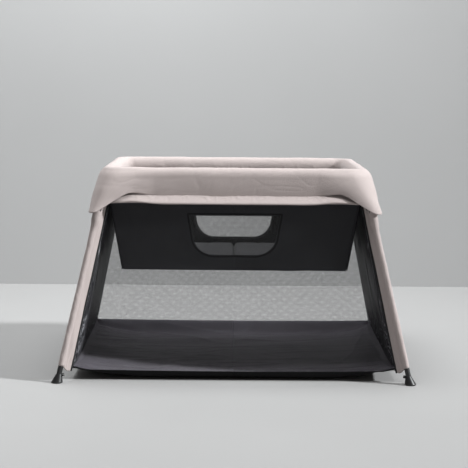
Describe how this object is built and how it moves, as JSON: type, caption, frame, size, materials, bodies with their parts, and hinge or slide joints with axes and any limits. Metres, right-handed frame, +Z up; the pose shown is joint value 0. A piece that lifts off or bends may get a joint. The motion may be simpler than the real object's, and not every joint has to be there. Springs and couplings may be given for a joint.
{
  "type": "folding playpen with bassinet",
  "caption": "Folding playpen with a padded rectangular rim, splayed legs in fabric sleeves, mesh walls, a hanging fabric base and a bassinet insert with D-shaped mesh windows.",
  "frame": {"origin": "on the floor under the middle of the playpen", "axes": "+X along the long side, +Y to the rear, +Z up; the side with the window in view faces -Y"},
  "size_m": [1.101, 0.794, 0.644],
  "materials": {
    "frame_aluminium": "drawn, satin anodised",
    "steel_pin": "zinc-plated, brushed",
    "foam": "soft open-cell foam",
    "rim_fabric": "fine plain weave, matt, pinkish beige",
    "sleeve_fabric": "fine plain weave, matt, pinkish beige",
    "body_mesh": "open knitted mesh, black",
    "window_mesh": "open knitted mesh, black",
    "body_fabric": "woven, slightly glossy, black",
    "bassinet_fabric": "woven, matt, black",
    "mattress_fabric": "woven, dark grey",
    "black_plastic": "moulded, fine texture",
    "button_plastic": "moulded, satin",
    "foot_plastic": "moulded, satin to glossy"
  },
  "bodies": {
    "left_half": {"centre_hinge_pins": "steel_pin", "left_rail_tube": "frame_aluminium", "left_rim_pad": "foam", "left_rim_cover": "rim_fabric", "left_rivets": "steel_pin", "left_leg_pins": "steel_pin", "left_corner_flaps": "rim_fabric", "left_end_wall": "body_fabric", "left_base_panel": "body_fabric", "left_bassinet_end": "bassinet_fabric", "left_bassinet_floor": "bassinet_fabric", "left_mattress_half": "mattress_fabric", "left_window_meshes": "window_mesh", "front_left_corner_joint": "black_plastic", "front_left_hinge_bracket": "black_plastic", "front_left_wall": "body_mesh", "front_left_bassinet_panel": "bassinet_fabric", "rear_left_corner_joint": "black_plastic", "rear_left_hinge_bracket": "black_plastic", "rear_left_wall": "body_mesh", "rear_left_bassinet_panel": "bassinet_fabric"},
    "right_half": {"right_rail_tube": "frame_aluminium", "right_rim_pad": "foam", "right_rim_cover": "rim_fabric", "right_rivets": "steel_pin", "right_leg_pins": "steel_pin", "right_corner_flaps": "rim_fabric", "right_end_wall": "body_fabric", "right_base_panel": "body_fabric", "right_bassinet_end": "bassinet_fabric", "right_bassinet_floor": "bassinet_fabric", "right_mattress_half": "mattress_fabric", "right_window_meshes": "window_mesh", "front_right_corner_joint": "black_plastic", "front_right_hinge_bracket": "black_plastic", "front_right_wall": "body_mesh", "front_right_bassinet_panel": "bassinet_fabric", "rear_right_corner_joint": "black_plastic", "rear_right_hinge_bracket": "black_plastic", "rear_right_wall": "body_mesh", "rear_right_bassinet_panel": "bassinet_fabric"},
    "front_left_leg": {"front_left_leg_lug": "black_plastic", "front_left_leg_tube": "frame_aluminium", "front_left_leg_sleeve": "sleeve_fabric", "front_left_foot": "foot_plastic"},
    "rear_left_leg": {"rear_left_leg_lug": "black_plastic", "rear_left_leg_tube": "frame_aluminium", "rear_left_leg_sleeve": "sleeve_fabric", "rear_left_foot": "foot_plastic"},
    "front_right_leg": {"front_right_leg_lug": "black_plastic", "front_right_leg_tube": "frame_aluminium", "front_right_leg_sleeve": "sleeve_fabric", "front_right_foot": "foot_plastic"},
    "rear_right_leg": {"rear_right_leg_lug": "black_plastic", "rear_right_leg_tube": "frame_aluminium", "rear_right_leg_sleeve": "sleeve_fabric", "rear_right_foot": "foot_plastic"},
    "front_button": {"front_release_button": "button_plastic"},
    "rear_button": {"rear_release_button": "button_plastic"}
  },
  "joints": [
    {"name": "centre_fold", "type": "hinge", "parent": "left_half", "child": "right_half", "pos_m": [0, 0, 0.632], "axis": [0, -1, 0], "range_deg": [0, 165], "deforming": ["left_rim_pad", "left_rim_cover", "left_corner_flaps", "left_end_wall", "left_base_panel", "left_bassinet_end", "left_bassinet_floor", "left_mattress_half", "left_window_meshes", "front_left_wall", "front_left_bassinet_panel", "rear_left_wall", "rear_left_bassinet_panel", "right_rim_pad", "right_rim_cover", "right_corner_flaps", "right_end_wall", "right_base_panel", "right_bassinet_end", "right_bassinet_floor", "right_mattress_half", "right_window_meshes", "front_right_wall", "front_right_bassinet_panel", "rear_right_wall", "rear_right_bassinet_panel"]},
    {"name": "front_left_leg_fold", "type": "hinge", "parent": "left_half", "child": "front_left_leg", "pos_m": [-0.414, -0.3, 0.52], "axis": [0.9532, -0.2415, -0.1819], "range_deg": [0, 97.57], "deforming": ["front_left_leg_sleeve"]},
    {"name": "rear_left_leg_fold", "type": "hinge", "parent": "left_half", "child": "rear_left_leg", "pos_m": [-0.414, 0.3, 0.52], "axis": [-0.974, -0.0805, 0.2118], "range_deg": [0, 90.94], "deforming": ["rear_left_leg_sleeve"]},
    {"name": "front_right_leg_fold", "type": "hinge", "parent": "right_half", "child": "front_right_leg", "pos_m": [0.414, -0.3, 0.52], "axis": [0.9532, 0.2415, 0.1819], "range_deg": [0, 97.57], "deforming": ["front_right_leg_sleeve"]},
    {"name": "rear_right_leg_fold", "type": "hinge", "parent": "right_half", "child": "rear_right_leg", "pos_m": [0.414, 0.3, 0.52], "axis": [-0.974, 0.0805, -0.2118], "range_deg": [0, 90.94], "deforming": ["rear_right_leg_sleeve"]},
    {"name": "front_button_press", "type": "slide", "parent": "left_half", "child": "front_button", "axis": [0, 1, 0], "range_m": [0, 0.003], "stiffness_N_per_m": 600, "springref_m": -0.002},
    {"name": "rear_button_press", "type": "slide", "parent": "left_half", "child": "rear_button", "axis": [0, -1, 0], "range_m": [0, 0.003], "stiffness_N_per_m": 600, "springref_m": -0.002}
  ],
  "couplings": [
    {"joint": "front_left_leg_fold", "follows": "centre_fold", "ratio": 0.59126},
    {"joint": "rear_left_leg_fold", "follows": "centre_fold", "ratio": 0.55106},
    {"joint": "front_right_leg_fold", "follows": "centre_fold", "ratio": 0.59126},
    {"joint": "rear_right_leg_fold", "follows": "centre_fold", "ratio": 0.55106}
  ]
}
